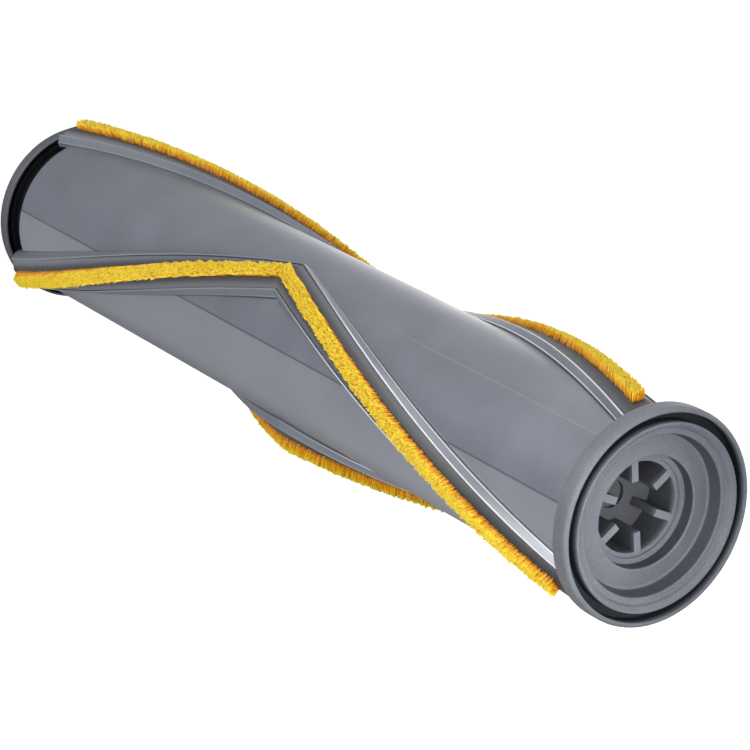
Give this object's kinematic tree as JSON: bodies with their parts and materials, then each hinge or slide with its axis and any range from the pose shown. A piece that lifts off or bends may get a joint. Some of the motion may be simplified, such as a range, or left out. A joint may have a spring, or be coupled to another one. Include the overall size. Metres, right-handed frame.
{
  "type": "vacuum roller brush",
  "caption": "Hollow grey roller with raised chevron rails holding golden bristle strips, a flanged ribbed drive socket at one end and a ball bearing at the other.",
  "frame": {"origin": "on the roller's axis, at the outer face of the idler end's rim, on which the roller stands", "axes": "+Z along the roller's axis from the idler end to the drive end; +X and +Y square to it, with the first chevron's apex thirteen degrees from +X towards +Y"},
  "size_m": [0.0497, 0.05, 0.2323],
  "materials": {
    "tube_plastic": "satin moulded plastic",
    "cap_plastic": "fine matte moulded plastic",
    "strip_backing": "dark extruded plastic",
    "bristle_fibre": "dense nylon pile",
    "bearing_steel": "ground bearing steel",
    "cage_steel": "pressed steel",
    "shield_steel": "pressed steel"
  },
  "bodies": {
    "roller": {"roller_tube": "tube_plastic", "strip_backing_1_drive": "strip_backing", "strip_backing_1_idler": "strip_backing", "strip_backing_2_drive": "strip_backing", "strip_backing_2_idler": "strip_backing", "strip_backing_3_drive": "strip_backing", "strip_backing_3_idler": "strip_backing", "bristle_pile_1_drive": "bristle_fibre", "bristle_pile_1_idler": "bristle_fibre", "bristle_pile_2_drive": "bristle_fibre", "bristle_pile_2_idler": "bristle_fibre", "bristle_pile_3_drive": "bristle_fibre", "bristle_pile_3_idler": "bristle_fibre", "drive_end_cap": "cap_plastic", "drive_coupling_insert": "cap_plastic", "idler_end_cap": "cap_plastic", "bearing_outer_race": "bearing_steel", "bearing_shield_outer": "shield_steel", "bearing_shield_inner": "shield_steel"},
    "inner_race": {"bearing_inner_race": "bearing_steel"},
    "ball_set": {"bearing_balls": "bearing_steel", "bearing_cage": "cage_steel"}
  },
  "joints": [
    {"name": "bearing_spin", "type": "hinge", "parent": "roller", "child": "inner_race", "pos_m": [0, 0, 0.004], "axis": [0, 0, 1], "continuous": true},
    {"name": "ball_orbit", "type": "hinge", "parent": "roller", "child": "ball_set", "pos_m": [0, 0, 0.004], "axis": [0, 0, 1], "continuous": true}
  ],
  "couplings": [
    {"joint": "ball_orbit", "follows": "bearing_spin", "ratio": 0.361}
  ]
}
